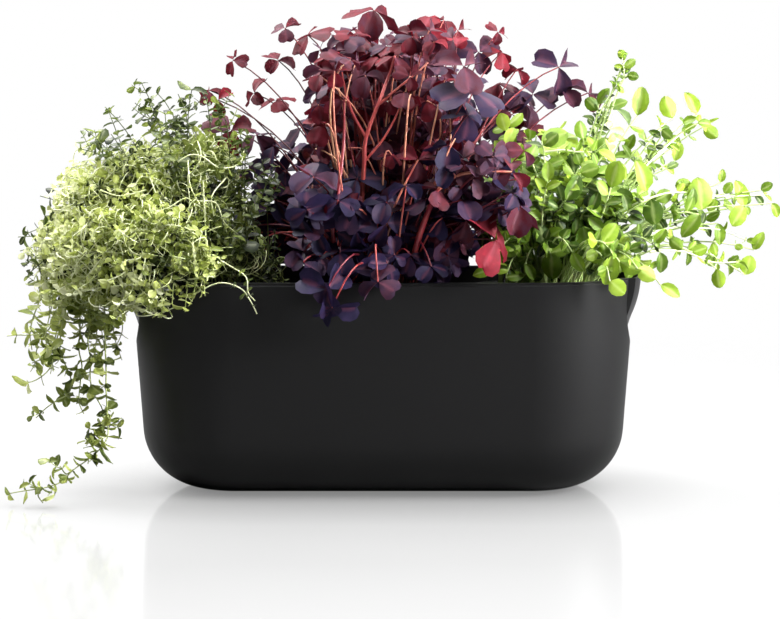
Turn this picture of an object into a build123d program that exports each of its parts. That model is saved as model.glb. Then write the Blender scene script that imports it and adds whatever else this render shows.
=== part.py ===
from build123d import *
import os
from math import cos, radians, sin, tan

# Indoor herb planter: a black outer pot, a liner that lifts out of it, and three potted herbs.
# Millimetres. The origin is on the floor under the middle of the pot, +X along the pot, -Y the front.

# Outer pot
pot_length = 343.4
pot_depth = 145.0
pot_height = 143.5
pot_wall = 2.5
draft_angle = 3.75
base_radius = 42.0
rim_round = 0.5
notch_width = 68.0
notch_depth = 45.5

# Foot ring
foot_setback = 3.8
foot_width = 5.0
foot_thickness = 1.0

# Liner
liner_wall = 2.0
liner_clearance = 0.8
liner_corner = 8.0
reservoir_height = 36.0
flange_thickness = 1.6
flange_setback = 0.5
lip_side_clearance = 1.0
lip_root_depth = 0.4
lip_inner_depth = 30.0
lip_middle_reach = 4.6
lip_top_reach = 10.0
lip_middle_rise = 21.0
drain_diameter = 4.0
drain_circle_radius = 24.0
drain_count = 4

# Grow pots
grow_pot_count = 3
grow_pot_gap = 5.0
grow_pot_end_gap = 6.9
grow_pot_below_rim = 7.0
grow_pot_base_share = 0.738
grow_pot_wall = 1.2
grow_pot_band_height = 9.0
grow_pot_band_step = 1.0
grow_pot_recess = 4.0
grow_pot_hole_diameter = 8.0
grow_pot_hole_circle_share = 0.66
grow_pot_hole_count = 8
grow_pot_centre_hole_diameter = 12.0

# Wicks
wick_diameter = 8.0
wick_hole_clearance = 0.4
wick_head_diameter = 24.0
wick_head_thickness = 3.6
wick_floor_gap = 3.0
wick_tip_round = 2.0

# Soil
soil_clearance = 0.3
soil_below_rim = 7.0
soil_edge_bevel = 5.0

# Herbs: how far each reaches from the middle of its own pot, as a share of the pots' pitch along X
# and of the outer pot's depth along Y, and how its shoots run
herb_reach_pitch_share = 1.278
herb_reach_depth_share = 0.552
herb_reach_z = 209.0
root_spread = 26.0
root_shares = (0.9, 0.4, 0.7, 0.2, 1.0, 0.55)
over_rise_share = 0.8
over_x_share = 0.45
over_y_share = 0.97
rim_arch = 60.0
trailing_arch = 115.0
trailing_below_share = -0.1
trailing_over_share = 0.85
upright_share = 0.8
crown_radius = 32.0
crown_height = 4.0
crown_side_count = 10
crown_taper_angle = 30
stem_run_count = 3
stem_side_count = 3
turn_step = 47
node_turn = 90
leaf_thickness = 0.7

# Oxalis leaves
oxalis_stem_radius = 1.0
oxalis_leaflet_length = 19.0
oxalis_leaflet_width = 18.0
oxalis_leaflet_count = 3
oxalis_leaflet_setback = 0.3
oxalis_leaflet_drop = 0.8
oxalis_droop_angle = 32.0
oxalis_heading_share = 0.6
oxalis_light_shares = (0, -0.45, 0.75)

# Thyme sprigs and mound
thyme_stem_radius = 0.8
thyme_leaf_length = 7.0
thyme_leaf_width = 4.5
thyme_pair_count = 3
thyme_node_share = 0.15
mound_foot_share = 0.26
mound_height = 112.0
mound_side_count = 9
mound_step_shares = (0.2, 0.3, 0.25, 0.25)
mound_step_angles = (-29, -5, 20, 42)

# Oregano leaves
oregano_stem_radius = 0.9
oregano_leaf_length = 17.0
oregano_leaf_width = 13.0
oregano_pair_count = 2
oregano_node_share = 0.22
oregano_leaf_lift_share = 0.4

overrun = 5.0

pot_rim_level = foot_thickness + pot_height
reservoir_floor_level = foot_thickness + pot_wall
liner_base_level = reservoir_floor_level + reservoir_height
liner_floor_level = liner_base_level + liner_wall
liner_top_level = pot_rim_level + flange_thickness
grow_pot_rim_level = pot_rim_level - grow_pot_below_rim
grow_pot_height = grow_pot_rim_level - liner_floor_level
soil_level = grow_pot_rim_level - soil_below_rim
draft = tan(radians(draft_angle))
end_centre_x = (pot_length - pot_depth) / 2
notch_bottom_level = pot_rim_level - notch_depth

# The grow pots fill the liner's length at the rim, but for the gaps between and beside them
pots_span = pot_length - 2 * (pot_wall + liner_clearance + liner_wall + grow_pot_end_gap)
grow_pot_top_diameter = (pots_span + grow_pot_gap) / grow_pot_count - grow_pot_gap
grow_pot_base_diameter = grow_pot_top_diameter * grow_pot_base_share
grow_pot_pitch = grow_pot_top_diameter + grow_pot_gap
grow_pot_x = {"left": -grow_pot_pitch, "middle": 0, "right": grow_pot_pitch}

herb_reach_x = grow_pot_pitch * herb_reach_pitch_share
herb_reach_y = pot_depth * herb_reach_depth_share
mound_foot_radius = grow_pot_pitch * mound_foot_share

os.makedirs("parts", exist_ok=True)


def write(builder, name):
    """Labels a finished piece and writes it under its name."""
    builder.part.label = name
    export_step(builder.part, f"parts/{name}.step")


def tapered_stadium(length, width, top_level, bottom_level):
    """A solid with straight sides and round ends that narrows downwards with the draft."""
    with BuildPart() as body:
        with BuildSketch(Plane.XY.offset(top_level)):
            SlotOverall(length, width)
        extrude(amount=bottom_level - top_level, taper=draft_angle)
    return body.part


def notch_bar(width, bottom_level, start_x, end_x):
    """A U-shaped bar along X that is open upwards: a notch, or the space of the lip in it."""
    with BuildPart() as bar:
        with BuildSketch(Plane.YZ.offset(start_x)):
            with Locations((0, bottom_level + width / 2)):
                Circle(width / 2)
                Rectangle(width, pot_height, align=(Align.CENTER, Align.MIN))
        extrude(amount=end_x - start_x)
    return bar.part


# Outer pot: a drafted stadium with a large rolled lower edge, hollowed, then notched at both ends
pot_outside = tapered_stadium(pot_length, pot_depth, pot_rim_level, foot_thickness)
pot_inside = tapered_stadium(pot_length - 2 * pot_wall, pot_depth - 2 * pot_wall,
                             pot_rim_level, reservoir_floor_level)
pot_notches = notch_bar(notch_width, notch_bottom_level, -pot_length, pot_length)

with BuildPart() as pot_void:
    add(pot_inside)
    fillet(pot_void.faces().sort_by(Axis.Z)[0].edges(), base_radius - pot_wall)

with BuildPart() as outer_pot:
    add(pot_outside)
    fillet(outer_pot.faces().sort_by(Axis.Z)[0].edges(), base_radius)
    add(pot_void.part, mode=Mode.SUBTRACT)
    add(pot_notches, mode=Mode.SUBTRACT)
    fillet(outer_pot.faces().filter_by(Axis.Z).sort_by(Axis.Z)[-2:].edges(), rim_round)

write(outer_pot, "outer_pot")

# Foot ring: a thin ring set back from the edge of the base's flat, on which the planter stands
flat_depth = pot_depth - 2 * (pot_height * draft + base_radius * tan(radians(90 - draft_angle) / 2))
foot_depth = flat_depth - 2 * foot_setback
foot_length = foot_depth + 2 * end_centre_x

with BuildPart() as foot_ring:
    with BuildSketch():
        SlotOverall(foot_length, foot_depth)
        SlotOverall(foot_length - 2 * foot_width, foot_depth - 2 * foot_width, mode=Mode.SUBTRACT)
    extrude(amount=foot_thickness)

write(foot_ring, "foot_ring")

# Liner: a drafted tub inside the outer pot, a flange on its rim, and a flared lip in each notch
liner_length = pot_length - 2 * (pot_wall + liner_clearance)
liner_depth = pot_depth - 2 * (pot_wall + liner_clearance)
lip_width = notch_width - 2 * lip_side_clearance
lip_bottom_level = notch_bottom_level + lip_side_clearance
lip_base_radius = liner_depth / 2 - (pot_rim_level - lip_bottom_level) * draft
lip_points = [
    (lip_base_radius - lip_root_depth, lip_bottom_level),
    (lip_base_radius + lip_middle_reach, lip_bottom_level + lip_middle_rise),
    (lip_base_radius + lip_top_reach, liner_top_level),
]


def lip_flare(inset):
    """The turned ogee of one end lip, drawn in by the inset, about the axis of the pot's round end."""
    inner_radius = lip_base_radius - lip_inner_depth
    low, middle, high = [(radius - inset, level) for radius, level in lip_points]
    with BuildPart() as flare:
        with BuildSketch(Plane.XZ):
            with BuildLine():
                first = TangentArc(low, middle, tangent=(draft, 1))
                TangentArc(middle, high, tangent=first % 1)
                top = (high[0], high[1] + inset)
                if inset > 0:
                    Line(high, top)
                bottom = (low[0], low[1] - lip_side_clearance)
                Polyline(top, (inner_radius, top[1]), (inner_radius, bottom[1]), bottom, low)
            make_face()
        revolve(axis=Axis.Z)
    return flare.part.moved(Location((end_centre_x, 0, 0)))


def end_lip(inset):
    """One end lip's solid at +X, drawn in by the inset."""
    with BuildPart() as lip:
        add(lip_flare(inset))
        add(notch_bar(lip_width - 2 * inset, lip_bottom_level + inset, end_centre_x, pot_length),
            mode=Mode.INTERSECT)
    return lip.part


liner_outside = tapered_stadium(liner_length, liner_depth, pot_rim_level, liner_base_level)
liner_inside = tapered_stadium(liner_length - 2 * liner_wall, liner_depth - 2 * liner_wall,
                               pot_rim_level, liner_floor_level)

with BuildPart() as liner_void:
    add(liner_inside)
    fillet(liner_void.faces().sort_by(Axis.Z)[0].edges(), liner_corner - liner_wall)
    extrude(liner_void.faces().sort_by(Axis.Z)[-1], amount=flange_thickness)
    lip_void = end_lip(liner_wall)
    add(lip_void)
    add(lip_void.rotate(Axis.Z, 180))

with BuildPart() as insert_tray:
    add(liner_outside)
    fillet(insert_tray.faces().sort_by(Axis.Z)[0].edges(), liner_corner)
    with BuildSketch(Plane.XY.offset(pot_rim_level)):
        SlotOverall(pot_length - 2 * flange_setback, pot_depth - 2 * flange_setback)
    extrude(amount=flange_thickness)
    lip_body = end_lip(0)
    add(lip_body)
    add(lip_body.rotate(Axis.Z, 180))
    add(liner_void.part, mode=Mode.SUBTRACT)
    with Locations(*[(x, 0, liner_floor_level) for x in grow_pot_x.values()]):
        Hole(wick_diameter / 2 + wick_hole_clearance, liner_wall + overrun)
        with PolarLocations(drain_circle_radius, drain_count):
            Hole(drain_diameter / 2, liner_wall + overrun)

write(insert_tray, "insert_tray")


# Wicks: a felt stem that hangs in the water, with a flat head on the liner's floor
def wick_at(x):
    stem_length = liner_floor_level - reservoir_floor_level - wick_floor_gap
    with BuildPart() as wick:
        with BuildSketch(Plane.XY.offset(liner_floor_level)):
            with Locations((x, 0)):
                Circle(wick_head_diameter / 2)
        extrude(amount=wick_head_thickness)
        with BuildSketch(Plane.XY.offset(liner_floor_level)):
            with Locations((x, 0)):
                Circle(wick_diameter / 2)
        extrude(amount=-stem_length)
        fillet(wick.faces().sort_by(Axis.Z)[0].edges(), wick_tip_round)
    return wick


for side, x in grow_pot_x.items():
    write(wick_at(x), f"wick_{side}")


# Grow pots: thin turned nursery pots with a banded rim, a raised floor and drainage holes
pot_top_radius = grow_pot_top_diameter / 2
pot_base_radius = grow_pot_base_diameter / 2
pot_band_radius = pot_top_radius - grow_pot_band_step
pot_slope = (pot_band_radius - pot_base_radius) / grow_pot_height
pot_inner_floor = grow_pot_recess + grow_pot_wall


def pot_inner_radius(height):
    """The grow pot's inner radius below its band, at a height above the liner's floor."""
    return pot_base_radius + pot_slope * height - grow_pot_wall


def grow_pot_at(x):
    band_base = grow_pot_height - grow_pot_band_height
    band_base_radius = pot_base_radius + pot_slope * band_base
    with BuildPart(Plane((x, 0, liner_floor_level))) as grow_pot:
        with BuildSketch(Plane((x, 0, liner_floor_level), x_dir=(1, 0, 0), z_dir=(0, -1, 0))):
            with BuildLine():
                Polyline(
                    (0, grow_pot_recess),
                    (pot_base_radius - grow_pot_wall, grow_pot_recess),
                    (pot_base_radius - grow_pot_wall, 0),
                    (pot_base_radius, 0),
                    (band_base_radius, band_base),
                    (band_base_radius + grow_pot_band_step, band_base),
                    (pot_top_radius, grow_pot_height),
                    (pot_top_radius - grow_pot_wall, grow_pot_height),
                    (pot_inner_radius(band_base) + grow_pot_band_step, band_base + grow_pot_wall),
                    (pot_inner_radius(band_base), band_base),
                    (pot_inner_radius(pot_inner_floor), pot_inner_floor),
                    (0, pot_inner_floor),
                    close=True,
                )
            make_face()
        revolve(axis=Axis((x, 0, 0), (0, 0, 1)))
        with Locations((0, 0, pot_inner_floor)):
            Hole(grow_pot_centre_hole_diameter / 2, grow_pot_wall + overrun)
            with PolarLocations(pot_base_radius * grow_pot_hole_circle_share, grow_pot_hole_count):
                Hole(grow_pot_hole_diameter / 2, grow_pot_wall + overrun)
    return grow_pot


for side, x in grow_pot_x.items():
    write(grow_pot_at(x), f"grow_pot_{side}")


# Soil: a root ball that fills each grow pot, bevelled at its top edge
def soil_at(x):
    bottom = pot_inner_floor
    top = soil_level - liner_floor_level
    shoulder = top - soil_edge_bevel
    with BuildPart() as soil:
        with BuildSketch(Plane((x, 0, liner_floor_level), x_dir=(1, 0, 0), z_dir=(0, -1, 0))):
            with BuildLine():
                Polyline(
                    (0, bottom),
                    (pot_inner_radius(bottom) - soil_clearance, bottom),
                    (pot_inner_radius(shoulder) - soil_clearance, shoulder),
                    (pot_inner_radius(shoulder) - soil_edge_bevel, top),
                    (0, top),
                    close=True,
                )
            make_face()
        revolve(axis=Axis((x, 0, 0), (0, 0, 1)))
    return soil


for side, x in grow_pot_x.items():
    write(soil_at(x), f"soil_{side}")


# Herbs. A shoot is a curve from its root in the crown, over a high point, to its tip. Its tip is
# given in shares of the herbs' reach along X, along Y and up, from the middle of its pot's soil.
def shoot_curve(pot_x, index, tip_shares):
    across, out, up = tip_shares[:3]
    rise = up * herb_reach_z
    trails = up < trailing_below_share
    lean = Vector(across * herb_reach_x, out * herb_reach_y, 0)
    spread = root_spread * root_shares[index % len(root_shares)]
    root = Vector(pot_x, 0, soil_level + crown_height / 2) + lean.normalized() * spread
    tip = Vector(pot_x, 0, soil_level + rise) + lean
    arch = max(over_rise_share * rise, trailing_arch if trails else rim_arch)
    over_share = trailing_over_share if trails else over_x_share
    over = Vector(root.X + over_share * (tip.X - root.X), over_y_share * tip.Y, soil_level + arch)
    return root, over, tip


def on_curve(curve, share):
    root, over, tip = curve
    rest = 1 - share
    return root * rest * rest + over * 2 * share * rest + tip * share * share


def stem_points(curve):
    """The points on a shoot's curve at which the straight runs of its stem meet."""
    return [on_curve(curve, i / stem_run_count) for i in range(stem_run_count + 1)]


def on_stem(points, share):
    """A point on a stem's runs, and the direction of the run that it lies on."""
    run = min(int(share * stem_run_count), stem_run_count - 1)
    start, end = points[run], points[run + 1]
    return start + (end - start) * (share * stem_run_count - run), (end - start).normalized()


def stem(points, radius):
    """A thin stem of flat-sided runs, mitred where they meet."""
    with BuildPart() as runs:
        with BuildLine():
            Polyline(*points)
        with BuildSketch(Plane(points[0], z_dir=points[1] - points[0])):
            RegularPolygon(radius, stem_side_count)
        sweep(transition=Transition.RIGHT)
    return runs.part


def leaf_plate(base, direction, normal, length, width, outline_shares):
    """A thin flat leaf that grows from its base along a direction."""
    with BuildPart() as leaf:
        with BuildSketch(Plane(base, x_dir=direction, z_dir=normal)):
            with BuildLine():
                Polyline(*[(x * length, y * width) for x, y in outline_shares], close=True)
            make_face()
        extrude(amount=leaf_thickness / 2, both=True)
    return leaf.part


def square_to(normal, turn):
    """A direction square to a normal, turned about it by an angle in degrees."""
    reference = Vector(0, 1, 0) if abs(normal.X) > upright_share else Vector(1, 0, 0)
    return normal.cross(reference).normalized().rotate(Axis((0, 0, 0), normal), turn)


def crown(pot_x):
    """The low clump from which a herb's stems rise, flat on the soil."""
    with BuildPart() as clump:
        with BuildSketch(Plane.XY.offset(soil_level)):
            with Locations((pot_x, 0)):
                RegularPolygon(crown_radius, crown_side_count)
        extrude(amount=crown_height, taper=crown_taper_angle)
    return clump.part


# Oxalis: each stem carries three notched leaflets that droop from its tip. The last number of a row
# is the leaf's size.
oxalis_leaflet_outline_shares = [(0, 0), (1, 0.5), (0.8, 0), (1, -0.5)]
oxalis_tip_shares = [
    (-0.75, 0.80, 0.75, 0.70), (-0.52, 0.80, 0.75, 0.80), (-0.49, 0.82, 0.86, 0.65),
    (-0.38, 0.78, 0.83, 1.10), (-0.34, 0.40, 0.74, 0.95), (-0.87, 0.85, 0.65, 0.65),
    (-0.82, 0.80, 0.59, 0.60), (-0.53, 0.80, 0.60, 0.70), (-0.76, 0.93, 0.50, 1.20),
    (-0.62, 0.88, 0.47, 1.10), (-0.28, 0.45, 0.56, 1.05), (-0.02, 0.10, 0.96, 1.50),
    (-0.15, 0.20, 0.86, 1.25), (-0.02, -0.30, 0.85, 1.00), (-0.21, 0.30, 0.80, 1.20),
    (-0.22, -0.20, 0.76, 1.10), (0.10, 0.50, 0.86, 0.90), (0.20, 0.00, 0.90, 1.15),
    (0.28, 0.35, 0.90, 0.70), (0.38, 0.82, 0.85, 0.70), (0.48, 0.85, 0.77, 0.85),
    (0.60, 0.88, 0.76, 1.05), (0.38, -0.85, 0.81, 1.20), (0.44, -0.88, 0.70, 1.30),
    (0.58, 0.90, 0.67, 0.95), (0.67, 0.82, 0.71, 0.65), (0.88, 0.94, 0.72, 1.15),
    (0.90, 0.90, 0.62, 1.00), (1.04, 0.84, 0.62, 0.85), (1.17, 0.90, 0.48, 0.80),
    (0.16, -0.50, 0.64, 1.20), (0.36, -0.86, 0.50, 1.00), (0.26, -0.60, 0.54, 1.10),
    (0.52, 0.90, 0.54, 1.00), (0.14, -0.10, 0.80, 1.10), (-0.48, 0.86, 0.34, 1.00),
    (-0.24, 0.00, 0.41, 1.10), (-0.28, -0.64, 0.32, 1.10), (-0.13, -0.72, 0.44, 1.10),
    (-0.25, -0.20, 0.36, 1.05), (0.00, -0.75, 0.42, 1.10), (0.14, -0.60, 0.43, 1.10),
    (0.24, -0.85, 0.43, 1.05), (-0.08, -0.85, 0.36, 1.10), (0.16, -0.30, 0.34, 1.05),
    (-0.22, -0.75, 0.22, 1.00), (-0.10, -0.40, 0.22, 1.10), (-0.27, -1.18, 0.06, 0.95),
    (-0.03, -1.14, 0.10, 0.85), (0.32, -0.66, 0.24, 0.90), (0.50, -0.92, 0.26, 1.15),
    (0.64, -0.95, 0.36, 1.20), (0.66, -0.92, 0.48, 0.80),
]


def oxalis_leaf(place, stem_heading, size, turn):
    normal = (stem_heading * oxalis_heading_share + Vector(*oxalis_light_shares)).normalized()
    droop = radians(oxalis_droop_angle)
    plates = []
    for i in range(oxalis_leaflet_count):
        flat = square_to(normal, turn + i * 360 / oxalis_leaflet_count)
        direction = flat * cos(droop) - normal * sin(droop)
        face = normal * cos(droop) + flat * sin(droop)
        base = place + flat * oxalis_leaflet_setback - stem_heading * oxalis_leaflet_drop
        plates.append(leaf_plate(base, direction, face, oxalis_leaflet_length * size,
                                 oxalis_leaflet_width * size, oxalis_leaflet_outline_shares))
    return plates


def oxalis_pieces():
    pot_x = grow_pot_x["middle"]
    pieces = [crown(pot_x)]
    for i, shares in enumerate(oxalis_tip_shares):
        points = stem_points(shoot_curve(pot_x, i, shares))
        pieces.append(stem(points, oxalis_stem_radius))
        pieces += oxalis_leaf(*on_stem(points, 1), shares[3], i * turn_step)
    return pieces


# Thyme: a dense mound of stepped domes, and sprigs that stand out of it and trail over the rim. A
# dome's row gives its place like a tip's, and its size.
mound_shares = [
    (-0.03, 0.00, 0.00, 1.00), (-0.36, -0.04, 0.16, 0.84), (-0.66, -0.06, 0.15, 0.52),
]
thyme_pair_outline_shares = [(-1, 0), (0, 0.5), (1, 0), (0, -0.5)]
thyme_tip_shares = [
    (-0.44, 0.10, 0.70), (-0.36, -0.20, 0.70), (-0.48, 0.30, 0.63), (-0.62, -0.30, 0.64),
    (-0.72, 0.30, 0.54), (-0.74, -0.40, 0.54), (-0.70, 0.50, 0.36),
    (-0.84, -0.20, 0.35), (-0.94, 0.30, 0.34), (-0.88, -0.50, 0.30), (-0.98, 0.10, 0.22),
    (-1.04, -0.30, 0.20), (-1.06, 0.20, 0.12), (-1.01, -0.50, 0.11), (-0.91, 0.10, 0.02),
    (-0.24, 0.20, 0.68), (-0.18, -0.30, 0.70), (-0.34, -0.52, 0.62), (-0.31, 0.40, 0.60),
    (-0.09, -0.40, 0.64), (0.06, 0.20, 0.58), (0.19, -0.20, 0.46), (0.24, 0.20, 0.38),
    (0.18, -0.50, 0.25), (0.04, -1.00, 0.20), (-1.11, -0.20, -0.12), (-1.04, 0.10, -0.28),
    (-0.94, -0.40, -0.16), (-0.96, -0.10, -0.44), (-1.08, -0.95, -0.59), (-0.94, -1.10, -0.59),
    (-0.90, -0.80, -0.50), (-0.82, -0.90, -0.53), (-0.69, -0.50, -0.52), (-0.61, -0.60, -0.37),
    (-0.66, -0.30, -0.24), (-0.76, 0.30, -0.28), (0.18, -1.10, 0.03), (-0.24, -0.98, 0.00),
    (-0.34, -0.90, -0.02),
]


def mound_dome(pot_x, shares):
    """One stepped dome. Its foot's edge and each step's slope are set by the mound's sizes."""
    across, out, up, size = shares
    with BuildPart() as dome:
        with BuildSketch(Plane.XY.offset(soil_level + up * herb_reach_z)):
            with Locations((pot_x + across * herb_reach_x, out * herb_reach_y)):
                RegularPolygon(mound_foot_radius * size, mound_side_count)
        for i, (share, angle) in enumerate(zip(mound_step_shares, mound_step_angles)):
            rise = share * mound_height * size
            if i == 0:
                extrude(amount=rise, taper=angle)
            else:
                extrude(dome.faces().sort_by(Axis.Z)[-1], amount=rise, taper=angle)
    return dome.part


def thyme_pieces():
    pot_x = grow_pot_x["left"]
    pieces = [crown(pot_x)] + [mound_dome(pot_x, shares) for shares in mound_shares]
    for i, shares in enumerate(thyme_tip_shares):
        points = stem_points(shoot_curve(pot_x, i, shares))
        pieces.append(stem(points, thyme_stem_radius))
        for node in range(thyme_pair_count):
            place, along = on_stem(points, 1 - node * thyme_node_share)
            across = square_to(along, i * turn_step + node * node_turn)
            pieces.append(leaf_plate(place, across, along, thyme_leaf_length, thyme_leaf_width,
                                     thyme_pair_outline_shares))
    return pieces


# Oregano: pairs of round leaves along each shoot
oregano_leaf_outline_shares = [(0, 0), (0.4, 0.48), (0.97, 0.2), (0.97, -0.2), (0.4, -0.48)]
oregano_tip_shares = [
    (0.42, 0.00, 0.80), (0.36, 0.20, 0.78), (0.51, -0.20, 0.66), (0.64, 0.20, 0.61),
    (0.76, -0.10, 0.66), (0.88, 0.30, 0.53), (0.58, -0.40, 0.54), (0.75, 0.40, 0.40),
    (1.17, 0.10, 0.30), (1.12, -0.20, 0.39), (1.08, -0.30, 0.20), (1.04, 0.20, 0.10),
    (0.94, -0.40, 0.06), (0.66, 0.10, 0.06), (0.80, -0.50, 0.38), (0.82, 0.50, 0.24),
    (0.60, -0.60, 0.31), (0.40, -0.85, 0.08), (0.50, -0.75, 0.20), (0.23, -0.42, 0.21),
    (0.03, -0.36, 0.18), (-0.18, -0.36, 0.18), (-0.14, -0.30, 0.56), (-0.03, -0.36, 0.50),
    (0.07, -0.36, 0.57), (0.17, -0.36, 0.38), (0.34, -0.40, 0.43), (0.10, 0.30, 0.60),
    (0.28, 0.10, 0.68), (0.22, -0.25, 0.72),
]


def oregano_pieces():
    pot_x = grow_pot_x["right"]
    pieces = [crown(pot_x)]
    for i, shares in enumerate(oregano_tip_shares):
        points = stem_points(shoot_curve(pot_x, i, shares))
        pieces.append(stem(points, oregano_stem_radius))
        for node in range(oregano_pair_count):
            place, along = on_stem(points, 1 - node * oregano_node_share)
            for side in (0, 180):
                across = square_to(along, i * turn_step + node * node_turn + side)
                direction = (across + along * oregano_leaf_lift_share).normalized()
                face = direction.cross(along.cross(across)).normalized()
                pieces.append(leaf_plate(place, direction, face, oregano_leaf_length,
                                         oregano_leaf_width, oregano_leaf_outline_shares))
    return pieces


for name, pieces in (
    ("thyme_plant", thyme_pieces()),
    ("oxalis_plant", oxalis_pieces()),
    ("oregano_plant", oregano_pieces()),
):
    with BuildPart() as herb:
        add(pieces)
    write(herb, name)
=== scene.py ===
import random
from math import cos, pi, radians, sin, sqrt

import bmesh
import bpy
from mathutils import Matrix, Quaternion, Vector


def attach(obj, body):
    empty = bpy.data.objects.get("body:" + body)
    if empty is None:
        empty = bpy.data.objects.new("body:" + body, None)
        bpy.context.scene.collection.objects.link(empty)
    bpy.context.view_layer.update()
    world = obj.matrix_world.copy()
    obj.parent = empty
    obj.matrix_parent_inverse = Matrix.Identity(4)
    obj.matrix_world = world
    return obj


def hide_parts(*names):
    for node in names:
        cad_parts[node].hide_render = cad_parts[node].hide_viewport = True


# Indoor herb planter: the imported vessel, liner and pots, dressed with thyme, oxalis and oregano.
# Metres, in the frame of the solids: the origin is on the floor under the middle of the vessel, +X
# along it, -Y towards the viewer. Lengths named in mm are multiplied by mm where they are used.

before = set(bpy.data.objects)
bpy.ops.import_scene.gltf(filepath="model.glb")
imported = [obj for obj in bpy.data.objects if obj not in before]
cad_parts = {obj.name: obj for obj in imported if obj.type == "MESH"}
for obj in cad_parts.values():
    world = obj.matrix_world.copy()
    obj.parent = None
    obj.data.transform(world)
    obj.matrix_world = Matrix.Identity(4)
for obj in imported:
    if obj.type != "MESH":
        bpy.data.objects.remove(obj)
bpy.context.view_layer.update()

mm = 0.001

# The photograph: its size, and the camera that took it
photo_width, photo_height = 780, 619
camera_place = Vector((4.6, -1187.0, 247.4)) * mm
camera_tilt = radians(6.05)
focal_pixels = 1741.7
sensor_width = 36.0
to_viewer = Vector((0.0, -1.0, 0.15))

# The vessel and the pots in it
vessel_length = 343.4 * mm
vessel_depth = 145.0 * mm
rim_level = 146.1 * mm
pot_pitch = 108.0 * mm
pot_inner_radius = 47.0 * mm
soil_level = 130.5 * mm
soil_radius = 41.0 * mm
rim_clearance = 5.0 * mm

# A shoot's curve: how far from the crown it may root, how high it arches before it comes over the
# rim, and the shares of its reach and depth at which it does
root_spread = 34.0 * mm
rise_share = 0.8
least_arch = 60.0 * mm
over_reach_share = 0.45
over_depth_share = 0.97
shoot_steps = 10
stalk_sides = 5

# Each herb's room in plan, so that its pot lifts out past its neighbours: the lowest and highest X
# over its middle, in front of that and behind it. Leaf tips stay a little above the floor.
middle_depth = 51.0 * mm
floor_clearance = 1.5 * mm
herb_rooms = {
    "thyme": ((-400, -61), (-400, -66), (-400, -152)),
    "oxalis": ((-54, 54), (-58, 108), (-148, 163)),
    "oregano": ((61, 400), (114, 400), (168, 400)),
}
pot_middle = {"thyme": -pot_pitch, "oxalis": 0.0, "oregano": pot_pitch}
pot_side = {"thyme": "left", "oxalis": "middle", "oregano": "right"}


def linear(hex_colour):
    """A hex sRGB colour as linear red, green, blue and alpha."""
    channels = [int(hex_colour[i:i + 2], 16) / 255 for i in (0, 2, 4)]
    return [c / 12.92 if c <= 0.04045 else ((c + 0.055) / 1.055) ** 2.4 for c in channels] + [1]


def add_node(tree, kind, inputs=None, stops=None, **settings):
    """Adds a node, sets its properties and ramp, and gives its inputs values or links."""
    made = tree.nodes.new(kind)
    for name, value in settings.items():
        setattr(made, name, value)
    for name, value in (inputs or {}).items():
        if isinstance(value, bpy.types.Node):
            value = next(out for out in value.outputs if out.enabled)
        if isinstance(value, bpy.types.NodeSocket):
            tree.links.new(value, made.inputs[name])
        else:
            made.inputs[name].default_value = value
    for i, (share, colour) in enumerate(stops or ()):
        elements = made.color_ramp.elements
        element = elements[i] if i < 2 else elements.new(share)
        element.position = share
        element.color = linear(colour)
    return made


def in_scene(name, data):
    """A new object in the scene."""
    made = bpy.data.objects.new(name, data)
    bpy.context.scene.collection.objects.link(made)
    return made


def cleared_tree(owner):
    """The emptied node tree of a material or a world."""
    owner.use_nodes = True
    owner.node_tree.nodes.clear()
    return owner.node_tree


def new_material(name):
    """An empty material, its node tree, and the place on its piece."""
    material = bpy.data.materials.new(name)
    tree = cleared_tree(material)
    return material, tree, add_node(tree, "ShaderNodeTexCoord").outputs["Object"]


def solid_skin(material, tree, height, relief, depth, looks):
    """Ends a material in an opaque skin with a fine relief."""
    bump = add_node(tree, "ShaderNodeBump", {"Height": height, "Strength": relief, "Distance": depth})
    shade = add_node(tree, "ShaderNodeBsdfPrincipled", {"Normal": bump, **looks})
    add_node(tree, "ShaderNodeOutputMaterial", {"Surface": shade})
    return material


# Polypropylene, injection moulded against a spark-eroded tool: fine even grain and a wide soft gloss
def moulded_plastic(name, colour, roughness, grain, grain_depth):
    material, tree, place = new_material(name)
    speckle = add_node(tree, "ShaderNodeTexNoise", {
        "Vector": place, "Scale": 1 / grain, "Detail": 2.0})
    cloud = add_node(tree, "ShaderNodeTexNoise", {"Vector": place, "Scale": 1 / (40 * mm)})
    gloss = add_node(tree, "ShaderNodeMapRange", {
        "Value": cloud, "To Min": roughness - 0.03, "To Max": roughness + 0.03})
    return solid_skin(material, tree, speckle, 0.25, grain_depth,
                      {"Base Color": linear(colour), "Roughness": gloss, "IOR": 1.36})


# Fibrous and dull: potting soil, dark with paler bits of bark, and needled viscose felt with a haze of
# hairs
def fibrous_solid(name, fibre, detail, stops, relief, depth, haze=0.0):
    material, tree, place = new_material(name)
    fibres = add_node(tree, "ShaderNodeTexNoise", {
        "Vector": place, "Scale": 1 / fibre, "Detail": detail})
    colour = add_node(tree, "ShaderNodeValToRGB", {"Fac": fibres}, stops=stops)
    return solid_skin(material, tree, fibres, relief, depth,
                      {"Base Color": colour, "Roughness": 0.95, "Sheen Weight": haze})


# Perlite, blown like popcorn: chalky white grains
def blown_perlite(name):
    material, tree, place = new_material(name)
    pores = add_node(tree, "ShaderNodeTexVoronoi", {"Vector": place, "Scale": 1 / (0.8 * mm)})
    return solid_skin(material, tree, pores, 0.5, 0.3 * mm,
                      {"Base Color": linear("e6e1d6"), "Roughness": 0.9})


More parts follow.
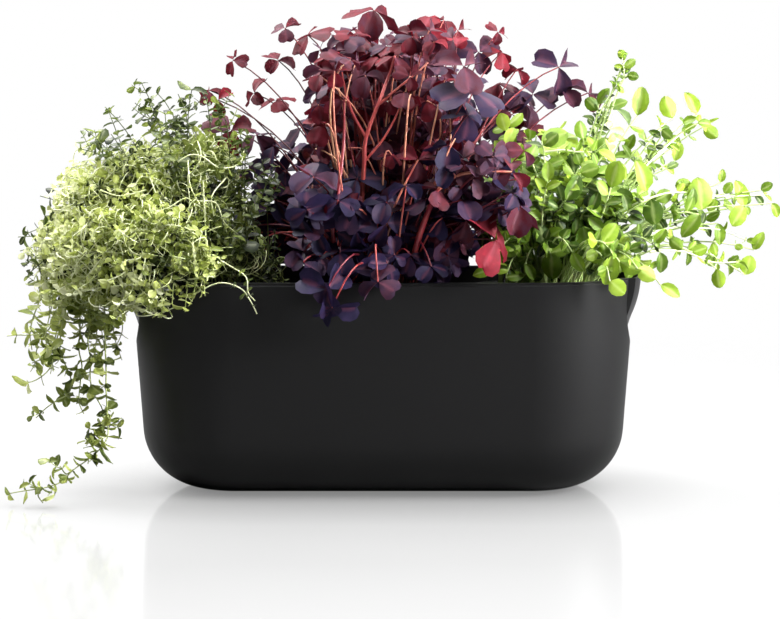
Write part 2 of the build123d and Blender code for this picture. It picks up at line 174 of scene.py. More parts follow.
def mottled_tint(tree, place, patch, detail, mottle, stops):
    """A plant's colour along a ramp, from its tint shifted by clouds, and those clouds."""
    tint = add_node(tree, "ShaderNodeAttribute", attribute_name="tint").outputs["Fac"]
    cloud = add_node(tree, "ShaderNodeTexNoise", {
        "Vector": place, "Scale": 1 / patch, "Detail": detail})
    shift = add_node(tree, "ShaderNodeMath", {0: cloud, 1: 0.5}, operation="SUBTRACT")
    mottled = add_node(tree, "ShaderNodeMath", {0: shift, 1: mottle, 2: tint},
                       operation="MULTIPLY_ADD")
    return add_node(tree, "ShaderNodeValToRGB", {"Fac": mottled}, stops=stops), cloud


# A living leaf: mottled, with a paler midrib, and light comes through
def leaf_skin(name, stops, rib, rib_share, roughness, glow, mottle, shine):
    material, tree, place = new_material(name)
    ground, cloud = mottled_tint(tree, place, 6 * mm, 3.0, mottle, stops)
    across = add_node(tree, "ShaderNodeAttribute", attribute_name="across").outputs["Fac"]
    ribbed = add_node(tree, "ShaderNodeMapRange", {
        "Value": across, "From Min": 0.0, "From Max": 0.3, "To Min": rib_share, "To Max": 0.0})
    colour = add_node(tree, "ShaderNodeMix", {"Factor": ribbed, 6: ground, 7: linear(rib)},
                      data_type="RGBA")
    bump = add_node(tree, "ShaderNodeBump", {"Height": cloud, "Strength": 0.3, "Distance": 0.5 * mm})
    face = add_node(tree, "ShaderNodeBsdfPrincipled", {
        "Base Color": colour, "Roughness": roughness, "Normal": bump, "Specular IOR Level": shine})
    through = add_node(tree, "ShaderNodeBsdfTranslucent", {"Color": colour})
    both = add_node(tree, "ShaderNodeMixShader", {0: glow, 1: face, 2: through})
    add_node(tree, "ShaderNodeOutputMaterial", {"Surface": both})
    return material


# A stalk: smooth skin, a little waxy, redder or greener in streaks
def stalk_skin(name, stops, roughness):
    material, tree, place = new_material(name)
    colour = mottled_tint(tree, place, 9 * mm, 2.0, 0.5, stops)[0]
    shade = add_node(tree, "ShaderNodeBsdfPrincipled", {"Base Color": colour, "Roughness": roughness})
    add_node(tree, "ShaderNodeOutputMaterial", {"Surface": shade})
    return material


def dress(node, material):
    """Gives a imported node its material."""
    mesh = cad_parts[node].data
    if not mesh.materials:
        mesh.materials.append(material)
    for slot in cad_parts[node].material_slots:
        slot.material = material


vessel_plastic = moulded_plastic("matt_moulded_polypropylene", "0d0d0e", 0.5, 0.7 * mm, 0.05 * mm)
liner_plastic = moulded_plastic("satin_moulded_polypropylene", "121213", 0.38, 0.7 * mm, 0.03 * mm)
nursery_plastic = moulded_plastic("thermoformed_polypropylene", "181818", 0.42, 2 * mm, 0.1 * mm)
foot_rubber = moulded_plastic("moulded_silicone_rubber", "101010", 0.75, 0.5 * mm, 0.05 * mm)
soil = fibrous_solid("damp_potting_soil", 3 * mm, 4.0,
                     [(0.3, "120c08"), (0.55, "2a1c12"), (0.75, "4a3320")], 0.8, 1.5 * mm)
perlite = blown_perlite("blown_perlite")
felt = fibrous_solid("needled_viscose_felt", 0.8 * mm, 3.0, [(0.3, "a89f8c"), (0.7, "d8d1c0")], 0.6,
                     0.4 * mm, 0.3)

# Along each leaf ramp the dark end is painted shade and the pale or bright red end painted light; a
# leaf's tint picks its colour on it
thyme_green = leaf_skin("waxy_thyme_leaf", [
    (0.0, "1c2810"), (1.0, "f6f8d6"), (0.22, "455622"), (0.45, "84923f"), (0.65, "bac468"),
    (0.85, "dee5a4")], "e6eab8", 0.25, 0.45, 0.36, 0.5, 0.5)
oxalis_red = leaf_skin("velvety_oxalis_leaf", [
    (0.0, "120f2b"), (1.0, "b82038"), (0.14, "241a3c"), (0.3, "3a243c"), (0.42, "502c3e"),
    (0.56, "521220"), (0.78, "7c1626")], "a85c6c", 0.22, 0.6, 0.18, 0.4, 0.2)
oregano_green = leaf_skin("soft_oregano_leaf", [
    (0.0, "1c2e0a"), (1.0, "dfeaa8"), (0.22, "3f5c12"), (0.45, "6c8c20"), (0.65, "92b030"),
    (0.85, "b4cc50")], "dfe9a0", 0.3, 0.5, 0.24, 0.35, 0.4)
thyme_stalk = stalk_skin("woody_thyme_stalk", [
    (0.0, "232a12"), (1.0, "f0f4cc"), (0.3, "5c6a36"), (0.6, "a8b46c"), (0.85, "d8dfa6")], 0.55)
oxalis_stalk = stalk_skin("juicy_oxalis_stalk", [
    (0.05, "4a1724"), (0.95, "e6ab88"), (0.35, "84202f"), (0.65, "b8504a")], 0.4)
oregano_stalk = stalk_skin("square_oregano_stalk", [
    (0.0, "4d5f28"), (1.0, "eef4cc"), (0.4, "9bb45c"), (0.7, "ccdd98")], 0.5)

dress("outer_pot", vessel_plastic)
dress("insert_tray", liner_plastic)
dress("foot_ring", foot_rubber)
for side in pot_side.values():
    dress(f"grow_pot_{side}", nursery_plastic)
    dress(f"soil_{side}", soil)
    dress(f"wick_{side}", felt)

# Camera
camera_data = bpy.data.cameras.new("photo_camera")
camera_data.sensor_width = sensor_width
camera_data.lens = focal_pixels * sensor_width / photo_width
camera = in_scene("photo_camera", camera_data)
camera.location = camera_place
camera.rotation_euler = (pi / 2 - camera_tilt, 0, 0)
bpy.context.scene.camera = camera


def at_pixel(across, down, depth):
    """The place at a depth along Y, in mm, that the photograph shows at a pixel."""
    right = (across - photo_width / 2) / focal_pixels
    up = (photo_height / 2 - down) / focal_pixels
    ray = Vector((right, cos(camera_tilt) + up * sin(camera_tilt),
                  up * cos(camera_tilt) - sin(camera_tilt)))
    return camera_place + ray * ((depth * mm - camera_place.y) / ray.y)


def smooth_line(points, per_span=4):
    """A line through the points with rounded turns."""
    ends = [points[0] * 2 - points[1]] + points + [points[-1] * 2 - points[-2]]
    line = []
    for before, start, end, after in zip(ends, ends[1:], ends[2:], ends[3:]):
        for i in range(per_span):
            s = i / per_span
            line.append((start * 2 + (end - before) * s
                         + (before * 2 - start * 5 + end * 4 - after) * s * s
                         + (start * 3 - before - end * 3 + after) * s * s * s) * 0.5)
    return line + [points[-1]]


def line_seen(points):
    """A rounded line through points of the photograph, each with its depth."""
    return smooth_line([at_pixel(*point) for point in points])


def over_soil(across, deep, height):
    """A place over the soil's level, from lengths in mm."""
    return Vector((across * mm, deep * mm, soil_level + height * mm))


def in_round(dice, least):
    """A random place in the unit circle, past a least share of its area."""
    turn = dice.uniform(0, 2 * pi)
    reach = sqrt(dice.uniform(least, 1))
    return reach * cos(turn), reach * sin(turn)


def spread_direction(dice):
    """A random direction, even over the sphere."""
    level = dice.uniform(-1, 1)
    turn = dice.uniform(0, 2 * pi)
    flat = sqrt(1 - level * level)
    return Vector((flat * cos(turn), flat * sin(turn), level))


def square_to(along, turn):
    """A direction square to another, turned about it."""
    reference = Vector((0.2, 0.3, 1.0)).normalized()
    return Quaternion(along, turn) @ along.cross(reference).normalized()


def laid_along(along, upper):
    """A turn that lays +X along a direction, with +Z as near another as it can be."""
    x = along.normalized()
    y = upper.cross(x).normalized()
    return Matrix((x, y, x.cross(y))).transposed().to_quaternion()


def marked_mesh(name, places, edges, faces, marks):
    """A mesh whose points carry named attributes."""
    mesh = bpy.data.meshes.new(name)
    mesh.from_pydata(places, edges, faces)
    for label, kind, values in marks:
        mesh.attributes.new(label, kind, "POINT").data.foreach_set("value", values)
    return mesh


# Leaves: each shape is given by points on its right edge and as many along its midrib, in shares of its
# length. A half of the leaf is woven between them. The edge ripples.
ripple_share = 0.035
ripple_rate = 9.0
heart_edge_shares = [(0, 0), (0.16, 0.2), (0.42, 0.41), (0.72, 0.5), (0.94, 0.4), (1.02, 0.19),
                     (0.9, 0)]
heart_rib_shares = [0, 0.18, 0.38, 0.56, 0.7, 0.8, 0.9]
round_edge_shares = [(0, 0), (0.07, 0.16), (0.24, 0.37), (0.5, 0.44), (0.76, 0.36), (0.94, 0.17),
                     (1, 0)]
round_rib_shares = [0, 0.12, 0.28, 0.5, 0.72, 0.88, 1]
small_edge_shares = [(0, 0), (0.2, 0.26), (0.52, 0.36), (0.84, 0.24), (1, 0)]
small_rib_shares = [0, 0.24, 0.52, 0.8, 1]


def leaf_shape(name, edge, rib, columns, fold, droop, curl, width):
    """A leaf of unit length along +X, folded up along its midrib, drooping to its tip."""
    places, faces, across = [], [], []
    wide = 2 * columns + 1
    for row, (edge_at, rib_at) in enumerate(zip(edge, rib)):
        for column in range(-columns, columns + 1):
            share = abs(column) / columns
            x = rib_at + (edge_at[0] - rib_at) * share
            y = edge_at[1] * share * width * (1 if column > 0 else -1)
            lift = abs(y) * sin(fold) - curl * y * y
            lift += ripple_share * share * sin(ripple_rate * x + column)
            places.append((x, y * cos(fold), lift - droop * x * x))
            across.append(share)
            if row and column < columns:
                corner = (row - 1) * wide + column + columns
                faces.append((corner, corner + wide, corner + wide + 1, corner + 1))
    mesh = marked_mesh(name, places, [], faces, [("across", "FLOAT", across)])
    mesh.polygons.foreach_set("use_smooth", [True] * len(faces))
    mesh.update()
    return bpy.data.objects.new(name, mesh)


def shape_family(name, edge, rib, columns, bends):
    """A collection of one leaf shape in several folds, droops and curls."""
    family = bpy.data.collections.new(name)
    for i, (fold, *bend) in enumerate(bends):
        family.objects.link(leaf_shape(f"{name}_{i}", edge, rib, columns, radians(fold), *bend))
    return family


oxalis_shapes = shape_family("oxalis_leaflet", heart_edge_shares, heart_rib_shares, 2, [
    (24, 0.15, 0.5, 1.18), (38, 0.28, 0.3, 1.2), (12, 0.1, 0.7, 1.1), (50, 0.25, 0.2, 1.25)])
oregano_shapes = shape_family("oregano_leaf", round_edge_shares, round_rib_shares, 2, [
    (12, 0.2, 0.8, 0.95), (30, 0.35, 0.5, 0.8), (-14, 0.1, 0.3, 0.9), (48, 0.15, 0.6, 1.0)])
thyme_shapes = shape_family("thyme_leaf", small_edge_shares, small_rib_shares, 1, [
    (20, 0.2, 0.3, 0.9), (38, 0.35, 0.2, 1.0), (-10, 0.3, 0.6, 1.25)])


class Herb:
    """Collects one herb's leaves and stalks, and keeps them in the herb's own room."""

    def __init__(self, name, seed):
        self.name = name
        self.middle = Vector((pot_middle[name], 0, 0))
        self.dice = random.Random(seed)
        self.leaves = []
        self.stalks = []

    def has_room(self, place, margin):
        """Whether a place is in this herb's room in plan, and clear of the vessel."""
        band = 0 if abs(place.y) <= middle_depth else (1 if place.y < 0 else 2)
        low, high = herb_rooms[self.name][band]
        if not low * mm + margin < place.x < high * mm - margin:
            return False
        if place.z > rim_level + margin:
            return True
        past_end = max(abs(place.x) - (vessel_length - vessel_depth) / 2, 0)
        if sqrt(past_end ** 2 + place.y ** 2) > vessel_depth / 2 + rim_clearance + margin:
            return place.z > margin
        from_middle = Vector((place.x - self.middle.x, place.y)).length
        return from_middle < pot_inner_radius - margin and place.z > soil_level

    def leaf(self, place, along, upper, length, tint, kind, margin=0.0):
        reach = along.normalized() * length
        if (place + reach).z > floor_clearance and self.has_room(place + reach / 2, margin):
            self.leaves.append((place, laid_along(along, upper), length, tint, kind))

    def stalk(self, points, thick, thin, tint):
        self.stalks.append((points, thick, thin, tint))

    def shoot(self, tip, bow):
        """Points on a curve from the crown, over the rim, to a tip."""
        lean = Vector((tip.x - self.middle.x, tip.y, 0))
        spread = root_spread * self.dice.uniform(0.1, 1.0)
        root = self.middle + Vector((0, 0, soil_level)) + lean.normalized() * spread
        arch = max(rise_share * (tip.z - soil_level), least_arch)
        over = Vector((root.x + over_reach_share * (tip.x - root.x), over_depth_share * tip.y,
                       soil_level + arch))
        over += spread_direction(self.dice) * bow
        steps = [i / shoot_steps for i in range(shoot_steps + 1)]
        return [root * (1 - s) ** 2 + over * 2 * s * (1 - s) + tip * s * s for s in steps]


def new_tree(name, *kinds):
    """A geometry tree from a mesh and inputs of some kinds to a mesh, and its input node."""
    tree = bpy.data.node_groups.new(name, "GeometryNodeTree")
    for kind in ("Geometry",) + kinds:
        tree.interface.new_socket(kind, in_out="INPUT", socket_type="NodeSocket" + kind)
    tree.interface.new_socket("Geometry", in_out="OUTPUT", socket_type="NodeSocketGeometry")
    return tree, add_node(tree, "NodeGroupInput")


def run_tree(name, base, tree, material, shapes=None):
    """Runs a geometry tree on a mesh, and gives the result as a plain object in its material."""
    carrier = in_scene(name + "_points", base)
    modifier = carrier.modifiers.new("grow", "NODES")
    modifier.node_group = tree
    for item in tree.interface.items_tree:
        if item.name == "Collection":
            modifier[item.identifier] = shapes
    grown = carrier.evaluated_get(bpy.context.evaluated_depsgraph_get())
    mesh = bpy.data.meshes.new_from_object(grown)
    mesh.name = name
    mesh.materials.clear()
    mesh.materials.append(material)
    bpy.data.objects.remove(carrier)
    return in_scene(name, mesh)


def scatter_tree():
    """Sets a shape on each point, turned, sized and picked by the point's attributes."""
    tree, given = new_tree("set_shapes", "Collection")
    points = add_node(tree, "GeometryNodeMeshToPoints", {"Mesh": given.outputs["Geometry"]})
    shapes = add_node(tree, "GeometryNodeCollectionInfo", {
        "Collection": given.outputs["Collection"], "Separate Children": True, "Reset Children": True})
    kind, turn, length = [
        add_node(tree, "GeometryNodeInputNamedAttribute", {"Name": label}, data_type=sort)
        for label, sort in (("kind", "INT"), ("turn", "QUATERNION"), ("length", "FLOAT"))]
    placed = add_node(tree, "GeometryNodeInstanceOnPoints", {
        "Points": points, "Instance": shapes, "Pick Instance": True, "Instance Index": kind,
        "Rotation": turn, "Scale": length})
    real = add_node(tree, "GeometryNodeRealizeInstances", {"Geometry": placed})
    add_node(tree, "NodeGroupOutput", {"Geometry": real})
    return tree


def stalk_tree():
    """Sweeps a round section along each line, as thick as its points say."""
    tree, given = new_tree("grow_stalks")
    curves = add_node(tree, "GeometryNodeMeshToCurve", {"Mesh": given.outputs["Geometry"]})
    ring = add_node(tree, "GeometryNodeCurvePrimitiveCircle", {
        "Resolution": stalk_sides, "Radius": 1.0})
    thickness = add_node(tree, "GeometryNodeInputNamedAttribute", {"Name": "thickness"},
                         data_type="FLOAT")
    swept = add_node(tree, "GeometryNodeCurveToMesh", {
        "Curve": curves, "Profile Curve": ring, "Scale": thickness, "Fill Caps": True})
    smooth = add_node(tree, "GeometryNodeSetShadeSmooth", {"Geometry": swept})
    add_node(tree, "NodeGroupOutput", {"Geometry": smooth})
    return tree


set_shapes = scatter_tree()
grow_stalks = stalk_tree()


def scatter(name, rows, shapes, material):
    """A piece of many small shapes from rows of place, turn, length, tint and kind."""
    places, turns, lengths, tints, kinds = zip(*rows)
    mesh = marked_mesh(name + "_points", places, [], [], (
        ("turn", "QUATERNION", [part for turn in turns for part in turn]),
        ("length", "FLOAT", lengths), ("tint", "FLOAT", tints), ("kind", "INT", kinds)))
    return run_tree(name, mesh, set_shapes, material, shapes)


def stalks_piece(herb, material):
    """A piece of all the stalks of a herb."""
    places, edges, thickness, tints = [], [], [], []
    for points, thick, thin, tint in herb.stalks:
        first = len(places)
        for i, point in enumerate(points):
            places.append(point)
            thickness.append(thick + (thin - thick) * i / (len(points) - 1))
            tints.append(tint)
        edges += [(first + i, first + i + 1) for i in range(len(points) - 1)]
    mesh = marked_mesh(herb.name + "_lines", places, edges, [], (
        ("thickness", "FLOAT", thickness), ("tint", "FLOAT", tints)))
    return run_tree(herb.name + "_stalks", mesh, grow_stalks, material)


# Oxalis: where the photograph shows each leaf, how deep it stands, the length of its leaflets, and
# its tint from navy (0) in painted shade over dusty violet (0.4) and burgundy (0.55) to bright red (1)
# in painted backlight
oxalis_leaves_seen = [
    (233, 60, 66, 11, 0.62), (278, 60, 66, 14, 0.58), (285, 28, 66, 12, 0.54),
    (308, 35, 66, 18, 0.60), (315, 70, 40, 16, 0.60), (209, 90, 72, 12, 0.66),
    (218, 100, 68, 11, 0.72), (276, 100, 66, 14, 0.68), (254, 93, 70, 13, 0.62),
    (231, 130, 76, 20, 0.58), (256, 135, 70, 19, 0.40), (302, 127, 64, 16, 0.36),
    (374, 10, 8, 23, 0.56), (353, 37, 16, 19, 0.64), (379, 48, -24, 18, 0.58),
    (340, 52, 24, 18, 0.56), (338, 67, -10, 20, 0.62), (404, 30, 36, 15, 0.34),
    (424, 29, 20, 17, 0.78), (444, 20, 30, 14, 0.60), (458, 30, 64, 13, 0.70),
    (453, 40, 68, 17, 0.40), (479, 52, 66, 17, 0.38), (502, 52, 64, 14, 0.74),
    (498, 32, 70, 10, 0.60), (464, 66, -68, 19, 0.45), (471, 90, -70, 24, 0.22),
    (499, 84, 72, 18, 0.56), (517, 69, 66, 12, 0.62), (559, 67, 70, 20, 0.30),
    (563, 90, 72, 17, 0.44), (588, 93, 70, 15, 0.46), (618, 135, 74, 14, 0.78),
    (415, 115, -40, 22, 0.48), (462, 159, -68, 17, 0.46), (448, 145, -66, 18, 0.10),
    (487, 121, 66, 18, 0.26), (468, 115, -66, 18, 0.16), (415, 52, 10, 18, 0.28),
    (289, 180, 70, 17, 0.40), (313, 177, -66, 18, 0.30), (300, 214, -72, 21, 0.10),
    (357, 179, -56, 19, 0.08), (321, 198, -68, 19, 0.06), (384, 187, -44, 19, 0.40),
    (411, 177, -52, 19, 0.36), (431, 184, -66, 19, 0.42), (376, 206, -60, 20, 0.46),
    (416, 203, -36, 17, 0.46), (340, 252, -70, 19, 0.12), (364, 246, -34, 20, 0.36),
    (327, 289, -92, 19, 0.14), (332, 308, -90, 16, 0.14), (378, 282, -90, 15, 0.36),
    (453, 236, -66, 19, 0.40), (496, 240, -76, 24, 0.74), (520, 206, -76, 22, 0.50),
    (513, 193, -74, 15, 0.16), (519, 166, 70, 18, 0.58), (498, 203, -72, 15, 0.20),
    (339, 146, -20, 19, 0.18), (366, 118, 16, 18, 0.24), (398, 84, -8, 19, 0.46),
    (352, 96, 20, 17, 0.40), (432, 88, 20, 17, 0.50), (330, 108, 36, 16, 0.34),
    (396, 148, -20, 18, 0.24), (322, 156, -30, 18, 0.14), (443, 108, 66, 17, 0.28),
    (437, 66, 40, 16, 0.48), (392, 232, -30, 17, 0.30), (424, 232, -44, 18, 0.36),
    (352, 214, -40, 18, 0.16), (336, 232, -66, 17, 0.14), (372, 150, -36, 18, 0.14),
    (408, 140, 20, 17, 0.22), (300, 150, 66, 17, 0.26), (270, 160, 72, 16, 0.30),
    (364, 66, 6, 16, 0.62), (386, 100, 10, 16, 0.50), (322, 92, 30, 15, 0.66),
    (346, 118, -4, 17, 0.30), (382, 128, 6, 16, 0.20), (430, 124, 0, 17, 0.20),
    (448, 168, -66, 17, 0.14), (462, 200, -70, 18, 0.22), (468, 222, -72, 17, 0.16),
    (316, 230, -70, 17, 0.10), (352, 270, -72, 17, 0.14), (400, 262, -50, 16, 0.20),
    (430, 262, -60, 17, 0.14), (448, 256, -70, 16, 0.20), (370, 268, -60, 16, 0.24),
    (336, 178, -50, 18, 0.12), (398, 212, -40, 18, 0.40), (302, 190, 60, 17, 0.16),
]
# The oxalis's thick stalks as the photograph shows them: points, thickness at each end, and tint
oxalis_trunks_seen = [
    ([(370, 262, -34), (362, 214, -48), (364, 166, -58), (366, 138, -60), (378, 105, -58),
      (388, 78, -52), (395, 56, -46)], 1.8, 0.9, 0.56),
    ([(366, 138, -60), (352, 112, -54), (344, 84, -46), (340, 62, -40)], 1.1, 0.6, 0.5),
    ([(378, 105, -58), (398, 88, -54), (420, 70, -48), (436, 54, -40)], 1.0, 0.5, 0.66),
    ([(366, 160, -58), (384, 138, -60), (398, 112, -60), (404, 92, -58)], 0.9, 0.5, 0.6),
    ([(410, 272, -52), (418, 240, -68), (428, 212, -73), (438, 190, -72)], 2.4, 1.4, 0.4),
    ([(372, 262, -50), (386, 226, -66), (402, 190, -70), (418, 160, -66)], 1.0, 0.6, 0.7),
    ([(336, 258, -56), (333, 228, -66), (338, 196, -68), (344, 140, -60), (344, 100, -50)],
     1.7, 0.8, 0.4),
    ([(347, 256, -56), (348, 228, -68), (342, 202, -70)], 1.5, 1.1, 0.4),
    ([(327, 250, -52), (325, 226, -64), (321, 204, -66)], 1.4, 1.0, 0.45),
    ([(438, 190, -70), (456, 176, -72), (478, 172, -74), (512, 172, -76)], 1.3, 0.8, 0.75),
]
# How many low leaves stand in its middle, behind it and in front. Those in the middle and behind are
# tinted redder the higher they stand, painted light from above; those low behind and in front are
# dark, painted shade
oxalis_inner, oxalis_behind, oxalis_before = 90, 170, 40
# The leaves that fill it: how many, the least and most of their X, Y and height over the soil in mm,
# of their leaflets' length and of their tint, whether their stalks are pale, and how far these bow
# Their tint spans hold painted light and shade: the spans of the leaves behind and low in front reach
# down to dark navy, painted shade
oxalis_fill = [
    (45, (36, 108), (58, 76), (50, 140), (12, 18), (0.08, 0.6), False, 14),
    (16, (44, 92), (-76, -58), (45, 115), (11, 16), (0.1, 0.6), False, 14),
    (60, (-44, 52), (-48, 10), (105, 178), (10, 15), (0.36, 0.76), False, 14),
    (34, (-50, 54), (-64, -34), (60, 165), (9, 13), (0.4, 0.75), True, 45),
    (60, (-48, 48), (34, 68), (50, 172), (11, 16), (0.12, 0.7), False, 14),
]
# Leaves farther out than this have thinner and darker stalks. A leaf faces the way its stalk climbs,
# and forward and up.
oxalis_crown = 50 * mm
oxalis_facing = Vector((0.0, -0.8, 0.55))


def oxalis_leaf(herb, points, length, tint):
    """Three folded leaflets that hang from the end of their stalk."""
    dice = herb.dice
    climb = (points[-1] - points[-2]).normalized()
    facing = climb * 0.4 + oxalis_facing + spread_direction(dice) * 0.55
    facing.normalize()
    start = dice.uniform(0, 2 * pi)
    droop = radians(dice.uniform(4, 44))
    for i in range(3):
        flat = Quaternion(facing, start + i * 2 * pi / 3) @ square_to(facing, 0)
        along = flat * cos(droop) - facing * sin(droop)
        upper = facing * cos(droop) + flat * sin(droop)
        herb.leaf(points[-1] + along * 0.6 * mm, along, upper, length * mm * dice.uniform(0.9, 1.06),
                  tint + dice.uniform(-0.06, 0.06), dice.randrange(4), 2 * mm)


def grow_oxalis():
    herb = Herb("oxalis", 11)
    dice = herb.dice

    def leaf_at(tip, length, tint, stalk_tint=None, bow=14):
        points = herb.shoot(tip, bow * mm)
        outer = abs(tip.x) > oxalis_crown
        herb.stalk(points, (0.7 if outer else 0.9) * mm, 0.45 * mm,
                   stalk_tint or dice.uniform(0.1, 0.45 if outer else 0.8))
        oxalis_leaf(herb, points, length, tint)

    for across, down, depth, length, tint in oxalis_leaves_seen:
        leaf_at(at_pixel(across, down, depth), length, tint)
    # The higher a leaf, the redder its tint, painted light from above; the low ones behind and in front
    # are dark, painted shade
    for _ in range(oxalis_inner):
        right, back = in_round(dice, 0.05)
        height = dice.uniform(28, 150)
        leaf_at(over_soil(right * 42, back * 46, height), dice.uniform(12, 17),
                height / 400 + dice.uniform(0, 0.15))
    for _ in range(oxalis_behind):
        height = dice.uniform(18, 30 + 80 * dice.random())
        leaf_at(over_soil(dice.uniform(-112, 60), dice.uniform(58, 76), height),
                dice.uniform(13, 18), height / 500 + dice.uniform(0, 0.1))
    for _ in range(oxalis_before):
        height = dice.uniform(20, 80)
        leaf_at(over_soil(dice.uniform(-54, 44), dice.uniform(-78, -58), height),
                dice.uniform(12, 16), dice.uniform(0.04, 0.3))
    for count, *spans, lengths, tints, pale, bow in oxalis_fill:
        for _ in range(count):
            tip = over_soil(*[dice.uniform(*span) for span in spans])
            leaf_at(tip, dice.uniform(*lengths), dice.uniform(*tints),
                    dice.uniform(0.75, 1.0) if pale else None, bow)
    for seen, thick, thin, tint in oxalis_trunks_seen:
        line = line_seen(seen)
        herb.stalk(line, thick * mm, thin * mm, tint)
        oxalis_leaf(herb, line, 14, 0.56)
    return herb


# Thyme: tips of the sprigs that the photograph shows against the white, and how deep they stand
thyme_tips_seen = [
    (141, 82, 8), (157, 93, -10), (135, 103, 20), (109, 112, 10), (105, 107, -16), (85, 129, 0),
    (111, 134, -30), (92, 142, 20), (81, 149, -10), (109, 159, -40), (92, 166, 12), (91, 181, -30),
    (70, 197, 6), (85, 195, -36), (40, 196, 8), (44, 216, -20), (57, 217, 24), (28, 233, 0),
    (18, 237, -16), (20, 251, 12), (22, 266, -8), (28, 274, -30), (40, 260, 18), (49, 297, -20),
    (39, 292, 4), (178, 94, 10), (192, 89, -14), (165, 112, -34), (159, 127, 30), (153, 141, -44),
    (206, 96, 18), (222, 112, -16), (238, 128, 8), (246, 146, -24), (262, 160, 4),
    (272, 176, -12), (268, 196, -40), (252, 214, -46), (240, 238, -48), (214, 98, 36),
]
# Its trailing sprigs, as points with their depths
thyme_trails_seen = [
    [(118, 298, -62), (112, 312, -62), (106, 324, -60), (105, 341, -60), (106, 366, -60),
     (106, 387, -60), (107, 408, -62), (108, 424, -62), (107, 438, -64), (98, 451, -66),
     (86, 461, -68), (73, 470, -70), (61, 482, -72), (43, 488, -74), (23, 491, -74), (7, 494, -74)],
    [(90, 300, -46), (89, 330, -50), (88, 344, -52), (91, 360, -52), (90, 376, -54),
     (93, 392, -54), (101, 406, -56), (105, 422, -58), (101, 442, -60)],
    [(74, 296, -24), (66, 318, -28), (58, 335, -30), (55, 350, -32), (50, 368, -34),
     (36, 380, -34), (20, 384, -34)],
    [(68, 300, -40), (62, 326, -42), (60, 350, -44), (66, 366, -46), (71, 379, -46),
     (69, 393, -46), (56, 401, -46), (45, 409, -46), (36, 418, -46)],
    [(62, 296, -10), (55, 318, -12), (46, 332, -14), (30, 335, -14), (18, 335, -14), (7, 336, -14)],
    [(37, 276, 0), (40, 297, 0), (33, 318, 0), (30, 334, 0), (32, 350, 0)],
    [(80, 300, -30), (80, 330, -34), (79, 350, -36), (82, 366, -38), (80, 386, -40),
     (79, 402, -40), (84, 414, -40)],
    [(60, 300, 10), (57, 330, 8), (52, 345, 6), (45, 357, 4), (32, 363, 4)],
    [(98, 296, -56), (97, 312, -58), (90, 322, -58), (80, 330, -60), (72, 338, -60)],
    [(112, 302, -68), (116, 314, -70), (113, 323, -70)],
    [(107, 418, -62), (113, 421, -62), (122, 418, -62)],
    [(104, 425, -62), (95, 430, -62), (86, 427, -62)],
    [(98, 451, -66), (90, 453, -68), (88, 464, -68)],
    [(73, 470, -70), (66, 474, -70), (60, 466, -70)],
    [(43, 488, -74), (38, 495, -76), (43, 503, -76)],
]
# Long pale stalks that loop over the front of the mound
thyme_loops_seen = [
    [(178, 162, -50), (190, 155, -52), (203, 157, -52), (220, 168, -50), (239, 164, -46),
     (244, 151, -42)],
    [(150, 216, -56), (168, 208, -58), (187, 198, -58), (196, 210, -58), (186, 217, -58)],
    [(196, 201, -58), (216, 203, -56), (224, 222, -54), (240, 236, -50)],
    [(203, 180, -56), (205, 223, -60), (206, 262, -64), (200, 290, -78)],
    [(211, 255, -62), (230, 266, -76), (246, 277, -80), (248, 292, -82), (255, 301, -82)],
    [(190, 296, -80), (218, 283, -80), (240, 288, -82), (250, 300, -82), (257, 314, -82)],
    [(188, 160, -54), (190, 185, -58), (200, 205, -60)],
    [(78, 206, -40), (84, 240, -48), (79, 270, -54), (82, 300, -58)],
    [(150, 178, -52), (160, 205, -58), (170, 235, -62), (178, 258, -66)],
    [(100, 190, -46), (120, 196, -52), (146, 190, -54)],
    [(120, 230, -58), (110, 250, -62), (118, 276, -66), (132, 290, -72)],
    [(226, 178, -48), (212, 196, -54), (214, 216, -58)],
]
# Tips of the sprigs that hang over the front of the rim
thyme_front_depth = -84
thyme_front_seen = [
    (192, 301), (185, 312), (161, 318), (144, 316), (130, 301), (172, 304), (150, 306), (205, 296),
]
# How many of each the mound has, from its inside out
thyme_shoots, thyme_inner_leaves, thyme_sprigs = 46, 1500, 430
thyme_hairs, thyme_curls, thyme_hanging = 430, 70, 10
# A stalk that wanders over the mound is turned back past one share of a dome's radius, and out again
# within another
turn_back, turn_out = 0.97, 0.85
# On a sprig a few pairs of leaves are larger than the rest, and twigs stop short of its tip
large_leaf, large_leaf_share = 1.5, 0.05
last_twig_share = 0.95
# The dense mound is a cluster of domes: middle and radii in mm, and its share of the sprigs
thyme_domes = [
    ((-130, 0, 178), (38, 44, 64), 5), ((-160, -4, 188), (40, 42, 44), 5),
    ((-192, -4, 180), (32, 38, 42), 4), ((-204, -8, 158), (30, 32, 32), 3),
    ((-166, -40, 160), (50, 34, 36), 4), ((-130, -38, 162), (33, 30, 42), 3),
    ((-142, -76, 156), (34, 10, 32), 2), ((-98, 10, 142), (29, 36, 24), 2),
]


def dome_level(place):
    """How far out of the nearest dome a place is, 1 at its skin, and the way out of it."""
    found = []
    for middle, radii, _ in thyme_domes:
        out = Vector([(p / mm - m) / r for p, m, r in zip(place, middle, radii)])
        found.append((out.length, Vector([o / r for o, r in zip(out, radii)]).normalized()))
    return min(found, key=lambda pair: pair[0])


def dome_place(dice, share):
    """A place at a share of the mound's radius, outside all but one of its domes."""
    weights = [weight for _, _, weight in thyme_domes]
    while True:
        middle, radii, _ = dice.choices(thyme_domes, weights)[0]
        out = spread_direction(dice)
        place = Vector([m + r * o * share for m, r, o in zip(middle, radii, out)]) * mm
        if dome_level(place)[0] > share - 0.06:
            return place


def thyme_tint_with_painted_light(place):
    """Painted light and shade: yellow green at the left and on top, dark blue green inside and at
    right.
    """
    side = (place.x + 150 * mm) / (90 * mm)
    side *= 1.5 if side > 0 else 0.8
    top = (place.z - 190 * mm) / (80 * mm)
    depth = max(1 - dome_level(place)[0], 0)
    return 0.71 - 0.4 * side + 0.06 * top - 0.6 * depth


